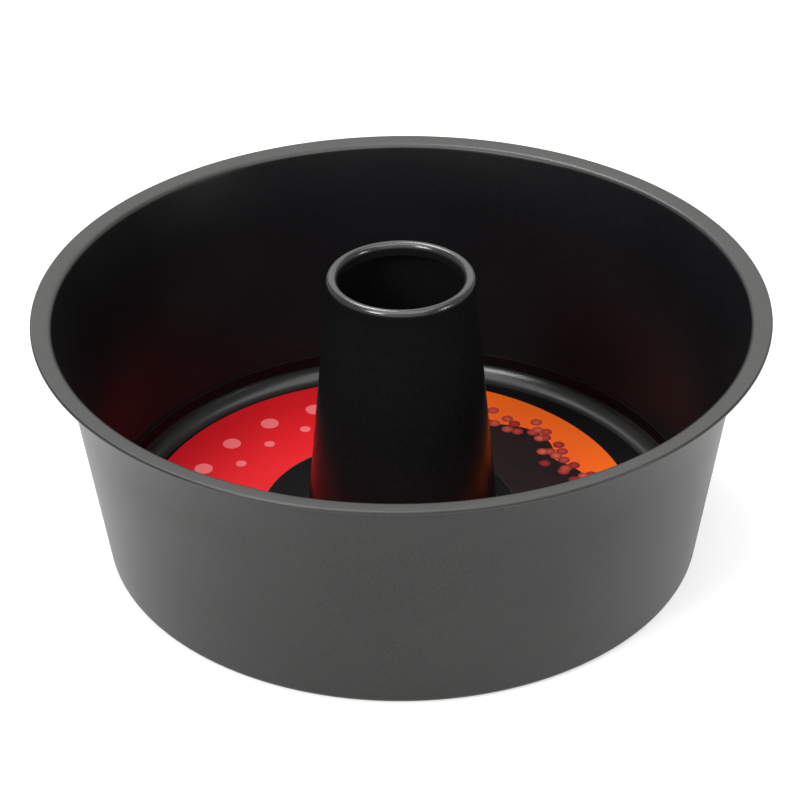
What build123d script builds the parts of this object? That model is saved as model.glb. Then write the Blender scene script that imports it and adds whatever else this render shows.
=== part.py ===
from build123d import *
import os

# Angel food cake pan with a lift-out bottom, in millimetres.
# Z runs up through the centre tube and the pan stands on the plane Z = 0.
# Each metal piece is a pressed sheet turned about Z. Its section is drawn as
# the line along the middle of the sheet, then traced at the sheet's thickness.
# Radii of walls and bends are those of that middle line.

# Sheet steel, coating included
sheet = 0.5

# Outer ring: straight wall, flare, hemmed lip and the ledge that carries the bottom.
# The lip tilts up towards its hem, in degrees
rim_radius = 127.0
rim_height = 91.6
lip_width = 6.1
lip_tilt = 9.0
lip_bend_radius = 2.2
hem_thickness = 1.4
hem_return = 3.5
flare_width = 5.0
flare_height = 17.4
flare_radius = 110.0
wall_taper = 10.45
base_corner_radius = 2.4
ledge_width = 5.2

# Lift-out bottom plate: dished edge and the collar round the tube's foot
plate_side_gap = 0.4
plate_edge_bend_radius = 7.2
plate_edge_height = 8.4
collar_gap = 0.1
collar_bend_radius = 3.2
collar_height = 6.0

# Centre tube: a cone with its mouth turned inwards and a flange under the plate
tube_height = 102.5
tube_radius_at_foot = 34.5
tube_taper = 9.0
neck_height = 4.0
neck_bend_radius = 12.0
mouth_roll_radius = 1.7
mouth_skirt = 2.6
foot_flange_width = 8.5

# Printed card ring, lying loose on the bottom plate: shares of the width of
# the plate's flat floor, and of the gap at the card's edge for its place
card_thickness = 0.4
card_edge_share = 0.124
card_hole_share = 0.137
card_shift_x_share = -0.69
card_shift_y_share = 0.69

# Points and radii that follow from these
half_sheet = sheet / 2
hem_radius = hem_thickness / 2
hem_bend_radius = hem_radius - half_sheet
hem_centre = Vector(rim_radius - hem_radius, rim_height - hem_radius)
lip_way = Vector(1, 0).rotate(Axis.Z, lip_tilt)
lip_end = hem_centre + Vector(0, hem_bend_radius).rotate(Axis.Z, lip_tilt)
lip_corner = lip_end - lip_way * lip_width
flare_foot = lip_corner - Vector(flare_width, flare_height)
wall_radius_at_base = flare_foot.X - wall_taper
tube_radius_at_neck = tube_radius_at_foot - tube_taper

# Heights that the pieces share: the ledge and the foot flange stand on Z = 0,
# the bottom plate lies on them and the card lies on the plate
stand_line = half_sheet
plate_line = stand_line + sheet
plate_floor = plate_line + half_sheet
roll_line = tube_height - half_sheet - mouth_roll_radius
neck_line = roll_line - neck_height


def wall_radius(z):
    """Radius of the straight side wall at the height z."""
    share = z / flare_foot.Y
    return wall_radius_at_base + wall_taper * share


def tube_radius(z):
    """Radius of the centre tube's cone at the height z."""
    share = z / neck_line
    return tube_radius_at_foot - tube_taper * share


os.makedirs("parts", exist_ok=True)

# Outer ring, from its ledge up the wall and the flare, out along the lip and round the hem
with BuildPart() as outer_ring:
    with BuildSketch(Plane.XZ):
        with BuildLine():
            side = FilletPolyline(
                (wall_radius_at_base - ledge_width, stand_line),
                (wall_radius(stand_line), stand_line),
                flare_foot,
                lip_corner,
                lip_end,
                radius=[base_corner_radius, flare_radius, lip_bend_radius],
            )
            hem = JernArc(side @ 1, side % 1, hem_bend_radius, -180)
            Line(hem @ 1, hem @ 1 + hem % 1 * hem_return)
        trace(line_width=sheet)
    revolve(axis=Axis.Z)
outer_ring.part.label = "outer_ring"

# Bottom plate, from its dished edge across to the collar
plate_radius = wall_radius(plate_line) - sheet - plate_side_gap
collar_outset = sheet + collar_gap
edge_line = plate_floor + plate_edge_height
collar_line = plate_floor + collar_height
with BuildPart() as base_plate:
    with BuildSketch(Plane.XZ):
        with BuildLine():
            FilletPolyline(
                (wall_radius(edge_line) - sheet - plate_side_gap, edge_line),
                (plate_radius, plate_line),
                (tube_radius(plate_line) + collar_outset, plate_line),
                (tube_radius(collar_line) + collar_outset, collar_line),
                radius=[plate_edge_bend_radius, collar_bend_radius],
            )
        trace(line_width=sheet)
    revolve(axis=Axis.Z)
base_plate.part.label = "base_plate"

# Centre tube, from its foot flange up the cone, over the roll and down its skirt
with BuildPart() as centre_tube:
    with BuildSketch(Plane.XZ):
        with BuildLine():
            cone = FilletPolyline(
                (tube_radius_at_foot + foot_flange_width, stand_line),
                (tube_radius(stand_line), stand_line),
                (tube_radius_at_neck, neck_line),
                (tube_radius_at_neck, roll_line),
                radius=[collar_bend_radius, neck_bend_radius],
            )
            roll = JernArc(cone @ 1, cone % 1, mouth_roll_radius, 180)
            Line(roll @ 1, roll @ 1 + roll % 1 * mouth_skirt)
        trace(line_width=sheet)
    revolve(axis=Axis.Z)
centre_tube.part.label = "centre_tube"

# Card ring, lying on the plate a little off centre
floor_outer_radius = plate_radius - plate_edge_bend_radius
floor_inner_radius = tube_radius_at_foot + collar_outset + collar_bend_radius
floor_width = floor_outer_radius - floor_inner_radius
card_edge_gap = floor_width * card_edge_share
card_hole_gap = floor_width * card_hole_share
with BuildPart() as card_insert:
    with BuildSketch(Plane.XY.offset(plate_floor)):
        with Locations((card_edge_gap * card_shift_x_share, card_edge_gap * card_shift_y_share)):
            Circle(floor_outer_radius - card_edge_gap)
            Circle(floor_inner_radius + card_hole_gap, mode=Mode.SUBTRACT)
    extrude(amount=card_thickness)
card_insert.part.label = "card_insert"

for piece in (outer_ring, base_plate, centre_tube, card_insert):
    export_step(piece.part, f"parts/{piece.part.label}.step")
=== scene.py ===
import bmesh
import bpy
import math
from mathutils import Euler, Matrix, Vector

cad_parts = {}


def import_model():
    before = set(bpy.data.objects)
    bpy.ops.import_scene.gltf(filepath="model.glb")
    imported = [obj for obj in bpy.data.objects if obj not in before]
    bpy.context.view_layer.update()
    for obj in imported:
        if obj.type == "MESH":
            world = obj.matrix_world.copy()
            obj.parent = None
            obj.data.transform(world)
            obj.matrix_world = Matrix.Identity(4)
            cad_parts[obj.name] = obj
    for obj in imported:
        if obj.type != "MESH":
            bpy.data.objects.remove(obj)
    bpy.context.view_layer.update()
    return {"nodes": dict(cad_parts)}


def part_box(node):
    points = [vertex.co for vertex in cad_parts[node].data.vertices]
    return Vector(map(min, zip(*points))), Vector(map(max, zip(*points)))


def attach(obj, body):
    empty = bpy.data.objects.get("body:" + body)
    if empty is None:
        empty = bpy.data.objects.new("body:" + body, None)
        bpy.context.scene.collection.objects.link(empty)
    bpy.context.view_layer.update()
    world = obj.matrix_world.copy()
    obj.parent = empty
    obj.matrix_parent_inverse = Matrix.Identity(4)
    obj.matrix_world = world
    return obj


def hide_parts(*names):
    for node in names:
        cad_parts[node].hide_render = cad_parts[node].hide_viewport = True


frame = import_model()
nodes = frame["nodes"]

# Sizes of the pan, in metres. What a box of the frame gives is read from it
ring_low, ring_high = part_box("outer_ring")
tube_low, tube_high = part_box("centre_tube")
rim_radius = (ring_high.x - ring_low.x) / 2
rim_height = ring_high.z
tube_height = tube_high.z
foot_radius = (tube_high.x - tube_low.x) / 2
sheet = 0.0005
half_sheet = sheet / 2

# Outer ring
lip_width = 0.0061
lip_tilt = math.radians(9.0)
lip_bend_radius = 0.0022
hem_radius = 0.0007
hem_return = 0.0035
flare_width = 0.005
flare_height = 0.0174
flare_radius = 0.11
wall_taper = 0.01045
base_corner_radius = 0.0024
ledge_width = 0.0052

# Lift-out bottom
plate_side_gap = 0.0004
plate_edge_bend_radius = 0.0072
plate_edge_height = 0.0084
collar_outset = 0.0006
collar_bend_radius = 0.0032
collar_height = 0.006

# Centre tube
foot_flange_width = 0.0085
tube_taper = 0.009
neck_height = 0.004
neck_bend_radius = 0.012
mouth_roll_radius = 0.0017
mouth_skirt = 0.0026

# Print on the card: the slanted border of its two fields and the dark band's scalloped edge
field_border = 0.016
field_slant = 0.2
band_radius = 0.07
scallop_depth = 0.006
scallops = 13

# Facets of the turned pieces: round the axis, and along a bend
facets_round = 400
bend_step = math.radians(7)
sharp_angle = math.radians(35)

# The photograph's view, in metres and degrees
view_centre_height = 0.091
camera_distance = 7.5 * rim_radius
camera_elevation = math.radians(30.3)
camera_tilt_down = math.radians(1.983)
camera_turn_left = math.radians(0.046)
camera_roll = math.radians(-0.51)
sensor_width_mm = 36.0
lens_mm = 124.6


def arc(start, way, radius, turn):
    """Points of an arc that leaves start along way. A positive turn goes to the left."""
    side = Vector((-way.y, way.x)) * math.copysign(1, turn)
    centre = start + side * radius
    steps = max(2, math.ceil(abs(turn) / bend_step))
    points = []
    for step in range(1, steps + 1):
        points.append(centre + turned_way(-side, turn * step / steps) * radius)
    return points


def turned_way(way, angle):
    """A flat vector turned to the left by the angle."""
    c, s = math.cos(angle), math.sin(angle)
    return Vector((way.x * c - way.y * s, way.x * s + way.y * c))


def bent_line(corners, radii):
    """The corners' polyline with a bend of the given radius at each inner corner."""
    points = [corners[0]]
    for before, corner, after, radius in zip(corners, corners[1:], corners[2:], radii):
        way_in = (corner - before).normalized()
        way_out = (after - corner).normalized()
        turn = -way_in.angle_signed(way_out)
        start = corner - way_in * radius * math.tan(abs(turn) / 2)
        points.append(start)
        points.extend(arc(start, way_in, radius, turn))
    points.append(corners[-1])
    return points


def last_way(points):
    """The way in which the last stretch of the points runs."""
    return (points[-1] - points[-2]).normalized()


def two_faces(line):
    """The two faces of a sheet whose middle is the line: left of it, then right of it."""
    left, right = [], []
    for index, point in enumerate(line):
        way_in = (point - line[max(index - 1, 0)]).normalized()
        way_out = (line[min(index + 1, len(line) - 1)] - point).normalized()
        way_in = way_in if way_in.length else way_out
        way_out = way_out if way_out.length else way_in
        way = (way_in + way_out).normalized()
        side = Vector((-way.y, way.x)) * half_sheet / way.dot(way_in)
        left.append(point + side)
        right.append(point - side)
    return left, right


def turned_sheet(name, line, node, body, materials, takes_second):
    """A sheet turned about Z. A strip takes the second material where takes_second, called with
    whether the strip lies left of the line and with its lowest and highest point, says so."""
    left, right = two_faces(line)
    outline = left + right[::-1]
    bm = bmesh.new()
    rings = []
    for point in outline:
        ring = []
        for facet in range(facets_round):
            angle = 2 * math.pi * facet / facets_round
            place = (point.x * math.cos(angle), point.x * math.sin(angle), point.y)
            ring.append(bm.verts.new(place))
        rings.append(ring)
    for index, point in enumerate(outline):
        following = (index + 1) % len(outline)
        low, high = sorted((point.y, outline[following].y))
        second = takes_second(following < len(left), low, high)
        for facet in range(facets_round):
            beside = (facet + 1) % facets_round
            face = bm.faces.new((rings[index][facet], rings[index][beside],
                                 rings[following][beside], rings[following][facet]))
            face.material_index = 1 if second else 0
            face.smooth = True
    bmesh.ops.recalc_face_normals(bm, faces=bm.faces)
    mesh = bpy.data.meshes.new(name)
    bm.to_mesh(mesh)
    bm.free()
    mesh.set_sharp_from_angle(angle=sharp_angle)
    for material in materials:
        mesh.materials.append(material)
    made = bpy.data.objects.new(name, mesh)
    bpy.context.scene.collection.objects.link(made)
    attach(made, body)
    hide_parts(node)


def linear(r, g, b):
    """A display colour, given from 0 to 255, as the linear colour with alpha that nodes take."""
    def channel(value):
        share = value / 255
        return share / 12.92 if share <= 0.04045 else ((share + 0.055) / 1.055) ** 2.4
    return (channel(r), channel(g), channel(b), 1.0)


class Material:
    """A node material with short calls to add and link its nodes."""

    def __init__(self, name):
        self.material = bpy.data.materials.new(name)
        self.material.use_nodes = True
        self.nodes = self.material.node_tree.nodes
        self.links = self.material.node_tree.links
        self.shader = self.nodes["Principled BSDF"]

    def node(self, kind, **values):
        made = self.nodes.new(kind)
        for key, value in values.items():
            setattr(made, key, value)
        return made

    def link(self, source, target):
        self.links.new(source, target)

    def math(self, operation, *values):
        """A Math node; each value is a number or another node's output."""
        made = self.node("ShaderNodeMath", operation=operation)
        for index, value in enumerate(values):
            if isinstance(value, (int, float)):
                made.inputs[index].default_value = value
            else:
                self.link(value, made.inputs[index])
        return made.outputs[0]

    def mix(self, factor, first, second):
        """The first colour where the factor is 0, the second where it is 1."""
        made = self.node("ShaderNodeMix", data_type="RGBA")
        self.link(factor, made.inputs["Factor"])
        for socket, value in ((made.inputs[6], first), (made.inputs[7], second)):
            if isinstance(value, tuple):
                socket.default_value = value
            else:
                self.link(value, socket)
        return made.outputs[2]

    def noise(self, scale, detail):
        place = self.node("ShaderNodeTexCoord")
        made = self.node("ShaderNodeTexNoise")
        made.inputs["Scale"].default_value = scale
        made.inputs["Detail"].default_value = detail
        self.link(place.outputs["Object"], made.inputs["Vector"])
        return made.outputs["Fac"]

    def bump(self, height, strength, distance):
        made = self.node("ShaderNodeBump")
        made.inputs["Strength"].default_value = strength
        made.inputs["Distance"].default_value = distance
        self.link(height, made.inputs["Height"])
        self.link(made.outputs["Normal"], self.shader.inputs["Normal"])


def coating(name, colour, roughness, specular):
    """Non-stick coating: dark and satin, with a fine grain and a faint cloudiness."""
    grain_scale = 1400
    cloud_scale = 26
    grain_share = 0.7
    contrast = 4.0
    tone_swing = 0.25
    roughness_swing = 0.08
    m = Material(name)
    grain = m.noise(grain_scale, 3)
    cloud = m.noise(cloud_scale, 3)
    grain_part = m.math("MULTIPLY", grain, grain_share)
    cloud_part = m.math("MULTIPLY", cloud, 1 - grain_share)
    tone = m.math("ADD", grain_part, cloud_part)
    tone = m.math("MULTIPLY_ADD", tone, contrast, 0.5 - contrast / 2)
    dark = tuple(c * (1 - tone_swing) for c in colour) + (1.0,)
    light = tuple(c * (1 + tone_swing) for c in colour) + (1.0,)
    m.link(m.mix(tone, dark, light), m.shader.inputs["Base Color"])
    least = roughness - roughness_swing / 2
    m.link(m.math("MULTIPLY_ADD", cloud, roughness_swing, least), m.shader.inputs["Roughness"])
    m.shader.inputs["Specular IOR Level"].default_value = specular
    m.bump(grain, 0.08, 0.0002)
    return m.material


def length(m, x, y):
    """The length of the flat vector with the parts x and y."""
    return m.math("SQRT", m.math("ADD", m.math("MULTIPLY", x, x), m.math("MULTIPLY", y, y)))


def card_place(m, vector, centre):
    """The vector's x, y, distance and angle as seen from the card's centre."""
    axes = m.node("ShaderNodeSeparateXYZ")
    m.link(vector, axes.inputs["Vector"])
    x = m.math("SUBTRACT", axes.outputs["X"], centre.x)
    y = m.math("SUBTRACT", axes.outputs["Y"], centre.y)
    return x, y, length(m, x, y), m.math("ARCTAN2", y, x)


def across(m, x, y):
    """How far the place lies to the right, along the normal of the print's slanted border."""
    return m.math("ADD", x, m.math("MULTIPLY", y, field_slant))


def scalloped_edge(m, angle):
    """Radius of the dark band's edge at the angle."""
    wave = m.math("ABSOLUTE", m.math("SINE", m.math("MULTIPLY", angle, scallops / 2)))
    return m.math("MULTIPLY_ADD", wave, scallop_depth, band_radius)


def dot_row(m, radius, angle, row_radius, count, dot_radius, shift):
    """1 on a row's dots that lie whole in the red field, 0 elsewhere. The shift is in dot steps."""
    pitch = 2 * math.pi / count
    step = m.math("MULTIPLY_ADD", angle, 1 / pitch, shift)
    cell = m.math("SUBTRACT", m.math("FRACT", step), 0.5)
    along = m.math("MULTIPLY", cell, pitch * row_radius)
    off = m.math("SUBTRACT", radius, row_radius)
    dot = m.math("LESS_THAN", length(m, along, off), dot_radius)
    middle = m.math("MULTIPLY", m.math("SUBTRACT", m.math("FLOOR", step), shift - 0.5), pitch)
    x = m.math("MULTIPLY", m.math("COSINE", middle), row_radius)
    y = m.math("MULTIPLY", m.math("SINE", middle), row_radius)
    whole = m.math("LESS_THAN", across(m, x, y), field_border - dot_radius)
    return m.math("MULTIPLY", dot, whole)


def printed_card():
    """Card with a varnished print on its upper face: a red and an orange field, a scalloped dark
    band with berry spots round the hole's orange half, and rows of pale dots on the red half."""
    m = Material("printed_card")
    card_low, card_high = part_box("card_insert")
    centre = (card_low + card_high) / 2
    place = m.node("ShaderNodeTexCoord").outputs["Object"]
    x, y, radius, angle = card_place(m, place, centre)

    # The two fields, parted by a straight border on the slant, change their tone outwards
    fade_start = 0.048
    fade_width = 0.04
    right = m.math("GREATER_THAN", across(m, x, y), field_border)
    outward = m.math("MULTIPLY_ADD", radius, 1 / fade_width, -fade_start / fade_width)
    outward = m.math("MINIMUM", m.math("MAXIMUM", outward, 0), 1)
    red = m.mix(outward, linear(212, 27, 35), linear(186, 20, 28))
    orange = m.mix(outward, linear(226, 77, 34), linear(212, 88, 16))
    colour = m.mix(right, red, orange)

    # Dark band with scallops
    within = m.math("LESS_THAN", radius, scalloped_edge(m, angle))
    band = m.math("MULTIPLY", within, right)
    cocoa = m.mix(m.noise(160, 4), linear(12, 6, 7), linear(34, 14, 16))
    colour = m.mix(band, colour, cocoa)

    # Spots of several reds along the band's edge, each one whole
    spot_scale = 190
    spot_share = 0.42
    spot_radius = spot_share / spot_scale
    spot_reach = 0.006
    spot_shade = 1.7
    cells = m.node("ShaderNodeTexVoronoi", voronoi_dimensions="2D")
    cells.inputs["Scale"].default_value = spot_scale
    m.link(place, cells.inputs["Vector"])
    spot = m.math("LESS_THAN", cells.outputs["Distance"], spot_share)
    cell_x, cell_y, cell_radius, cell_angle = card_place(m, cells.outputs["Position"], centre)
    off = m.math("SUBTRACT", cell_radius, scalloped_edge(m, cell_angle))
    near = m.math("LESS_THAN", m.math("ABSOLUTE", off), spot_reach)
    whole = m.math("GREATER_THAN", across(m, cell_x, cell_y), field_border + spot_radius)
    spot = m.math("MULTIPLY", m.math("MULTIPLY", spot, near), whole)
    pick = m.node("ShaderNodeSeparateColor")
    m.link(cells.outputs["Color"], pick.inputs["Color"])
    berry = m.mix(pick.outputs["Red"], linear(150, 30, 34), linear(214, 88, 66))
    shade = m.math("MULTIPLY", cells.outputs["Distance"], spot_shade)
    berry = m.mix(shade, berry, linear(60, 14, 18))
    colour = m.mix(spot, colour, berry)

    # Two rows of pale dots that follow the edge of the red field, one set between the other
    outer_dots = dot_row(m, radius, angle, row_radius=0.0745, count=24, dot_radius=0.0034, shift=0)
    inner_dots = dot_row(m, radius, angle, row_radius=0.0635, count=24, dot_radius=0.002, shift=0.5)
    dots = m.math("MAXIMUM", outer_dots, inner_dots)
    colour = m.mix(dots, colour, linear(220, 104, 106))

    # Bare grey board below and at the cut edges
    board_roughness = 0.8
    print_roughness = 0.45
    face = m.node("ShaderNodeSeparateXYZ")
    m.link(m.node("ShaderNodeNewGeometry").outputs["Normal"], face.inputs["Vector"])
    upper = m.math("GREATER_THAN", face.outputs["Z"], 0.5)
    board = m.mix(m.noise(900, 4), linear(150, 146, 138), linear(186, 182, 172))
    m.link(m.mix(upper, board, colour), m.shader.inputs["Base Color"])
    gloss = m.math("MULTIPLY_ADD", upper, print_roughness - board_roughness, board_roughness)
    m.link(gloss, m.shader.inputs["Roughness"])
    m.shader.inputs["Specular IOR Level"].default_value = 0.12
    m.bump(m.noise(500, 3), 0.05, 0.0001)
    return m.material


def outer_ring():
    """Ledge, wall, flare, lip and hem. Gives the wall's radius at the floor and its slope."""
    bend = hem_radius - half_sheet
    hem_centre = Vector((rim_radius - hem_radius, rim_height - hem_radius))
    lip_way = turned_way(Vector((1, 0)), lip_tilt)
    lip_end = hem_centre + turned_way(Vector((0, bend)), lip_tilt)
    lip_corner = lip_end - lip_way * lip_width
    flare_foot = lip_corner - Vector((flare_width, flare_height))
    wall_foot_radius = flare_foot.x - wall_taper
    slope = wall_taper / flare_foot.y
    line = bent_line(
        [
            Vector((wall_foot_radius - ledge_width, half_sheet)),
            Vector((wall_foot_radius + slope * half_sheet, half_sheet)),
            flare_foot,
            lip_corner,
            lip_end,
        ],
        [base_corner_radius, flare_radius, lip_bend_radius],
    )
    line.extend(arc(lip_end, lip_way, bend, -math.pi))
    line.append(line[-1] - lip_way * hem_return)

    # The wall's inner side is darker than its outer side and the lip
    ring = coating("ring_coating", (0.0243, 0.0238, 0.0225), 0.33, 0.42)
    inside = coating("ring_inside_coating", (0.0062, 0.0062, 0.0072), 0.32, 0.13)

    def lies_inside(on_left, low, high):
        return on_left and high < lip_corner.y - sheet

    turned_sheet("ring_sheet", line, "outer_ring", "ring",
                 [ring, inside], lies_inside)
    return wall_foot_radius, slope


def base_plate(wall_radius, slope, tube_radius, tube_slope):
    """The dished bottom, from its edge across to the collar."""
    plate_line = half_sheet + sheet
    plate_floor = plate_line + half_sheet
    edge_line = plate_floor + plate_edge_height
    collar_line = plate_floor + collar_height
    gap = sheet + plate_side_gap
    line = bent_line(
        [
            Vector((wall_radius + slope * edge_line - gap, edge_line)),
            Vector((wall_radius + slope * plate_line - gap, plate_line)),
            Vector((tube_radius - tube_slope * plate_line + collar_outset, plate_line)),
            Vector((tube_radius - tube_slope * collar_line + collar_outset, collar_line)),
        ],
        [plate_edge_bend_radius, collar_bend_radius],
    )

    # The bends take a lighter copy of the coating, a painted highlight. The flat floor and what
    # stands above the bends take a darker copy, painted shade
    bend = coating("bottom_bend_painted_highlight", (0.012, 0.0115, 0.0108), 0.26, 0.5)
    flat = coating("bottom_flat_painted_shade", (0.0026, 0.0025, 0.0024), 0.34, 0.12)
    painted_highlight_share = 0.6
    painted_highlight_top = plate_line + plate_edge_bend_radius * painted_highlight_share
    rounding = 0.00001

    # True where the darker copy, the painted shade, goes: the flat floor and above the bends
    def takes_painted_shade(on_left, low, high):
        return not on_left and (low > painted_highlight_top or high < plate_floor + rounding)

    turned_sheet("bottom_sheet", line, "base_plate", "bottom",
                 [bend, flat], takes_painted_shade)


def centre_tube(tube_radius, tube_slope, roll_height):
    """The cone with its foot flange, and the mouth rolled in with its skirt."""
    neck_radius = tube_radius - tube_taper
    line = bent_line(
        [
            Vector((foot_radius, half_sheet)),
            Vector((tube_radius - tube_slope * half_sheet, half_sheet)),
            Vector((neck_radius, roll_height - neck_height)),
            Vector((neck_radius, roll_height)),
        ],
        [collar_bend_radius, neck_bend_radius],
    )
    line.extend(arc(line[-1], last_way(line), mouth_roll_radius, math.pi))
    line.append(line[-1] - Vector((0, mouth_skirt)))

    # The mouth is glossier than the cone, and its lighter colour is a painted highlight
    steel = coating("tube_coating", (0.0078, 0.0078, 0.0082), 0.24, 0.14)
    mouth = coating("mouth_painted_highlight", (0.02, 0.02, 0.019), 0.21, 0.7)

    # True on the mouth's strips, which take the painted highlight
    def takes_painted_highlight(on_left, low, high):
        return low > roll_height - mouth_roll_radius

    turned_sheet("tube_sheet", line, "centre_tube", "bottom",
                 [steel, mouth], takes_painted_highlight)


def pan():
    """The four pieces: three turned sheets with fine facets, and the card with its print."""
    wall_radius, slope = outer_ring()
    tube_radius = foot_radius - foot_flange_width
    roll_height = tube_height - half_sheet - mouth_roll_radius
    tube_slope = tube_taper / (roll_height - neck_height)
    base_plate(wall_radius, slope, tube_radius, tube_slope)
    centre_tube(tube_radius, tube_slope, roll_height)
    nodes["card_insert"].data.materials.clear()
    nodes["card_insert"].data.materials.append(printed_card())


def floor():
    """A pale floor that keeps the pan's shadow and looks white to the camera. It lies a hair
    below the pan's foot, so that the two flat faces don't mix when seen from below."""
    reach = 4.0
    height = -0.0002
    grey = 0.5
    camera_glow = 0.6
    mirrored_glow = 0.42
    mesh = bpy.data.meshes.new("floor")
    corners = [(x * reach, y * reach, height) for x, y in ((-1, -1), (1, -1), (1, 1), (-1, 1))]
    mesh.from_pydata(corners, [], [(0, 1, 2, 3)])
    made = bpy.data.objects.new("floor", mesh)
    bpy.context.scene.collection.objects.link(made)
    m = Material("floor")
    m.shader.inputs["Base Color"].default_value = (grey, grey, grey, 1.0)
    m.shader.inputs["Roughness"].default_value = 0.9
    m.shader.inputs["Specular IOR Level"].default_value = 0.0
    path = m.node("ShaderNodeLightPath")
    mirrored = m.math("MULTIPLY", path.outputs["Is Glossy Ray"], mirrored_glow)
    glow = m.math("MULTIPLY_ADD", path.outputs["Is Camera Ray"], camera_glow, mirrored)
    m.shader.inputs["Emission Color"].default_value = (1, 1, 1, 1)
    m.link(glow, m.shader.inputs["Emission Strength"])
    made.data.materials.append(m.material)


def world():
    """Even white light from all round."""
    strength = 0.3
    scene = bpy.context.scene
    scene.world = bpy.data.worlds.new("studio")
    scene.world.use_nodes = True
    back = scene.world.node_tree.nodes["Background"]
    back.inputs["Color"].default_value = (1, 1, 1, 1)
    back.inputs["Strength"].default_value = strength


def softbox(name, azimuth, elevation, distance, width, height, power):
    """A rectangular lamp that looks at the pan. Azimuth 0 stands in front, 90 to the right."""
    aim_share = 0.6
    turn = math.radians(azimuth)
    rise = math.radians(elevation)
    aim = Vector((0, 0, rim_height * aim_share))
    flat = math.cos(rise)
    away = Vector((math.sin(turn) * flat, -math.cos(turn) * flat, math.sin(rise)))
    lamp = bpy.data.lights.new(name, "AREA")
    lamp.shape = "RECTANGLE"
    lamp.size = width
    lamp.size_y = height
    lamp.energy = power
    made = bpy.data.objects.new(name, lamp)
    made.location = aim + away * distance
    made.rotation_euler = away.to_track_quat("Z", "Y").to_euler()
    bpy.context.scene.collection.objects.link(made)


def camera():
    """The photograph's camera: it stands on a sphere round a point near the rim's centre."""
    lens = bpy.data.cameras.new("camera")
    lens.sensor_width = sensor_width_mm
    lens.lens = lens_mm
    lens.clip_start = 0.01
    made = bpy.data.objects.new("camera", lens)
    back = Vector((0, -math.cos(camera_elevation), math.sin(camera_elevation)))
    made.location = Vector((0, 0, view_centre_height)) + back * camera_distance
    pitch = math.pi / 2 - camera_elevation - camera_tilt_down
    turned = Euler((pitch, 0, camera_turn_left)).to_matrix()
    rolled = Euler((0, 0, camera_roll)).to_matrix()
    made.rotation_euler = (turned @ rolled).to_euler()
    bpy.context.scene.collection.objects.link(made)
    bpy.context.scene.camera = made


# Lamps: name, azimuth and elevation in degrees, distance, width and height in metres, watts
lamps = (
    ("right_lamp", 68, 18, 1.6, 0.35, 0.35, 4.5),
    ("left_lamp", -42, 38, 1.6, 0.5, 0.5, 14),
    ("top_panel", 0, 86, 1.8, 2.0, 2.0, 28),
    ("front_panel", 0, 62, 1.8, 1.8, 0.7, 5),
    ("low_front_panel", 0, 22, 2.2, 3.0, 1.2, 10),
    ("back_panel", 180, 34, 2.2, 3.0, 1.4, 15),
    ("back_left_lamp", -160, 58, 1.8, 0.5, 0.5, 12),
)

pan()
floor()
world()
for lamp in lamps:
    softbox(*lamp)
camera()
bpy.context.scene.view_settings.view_transform = "Standard"
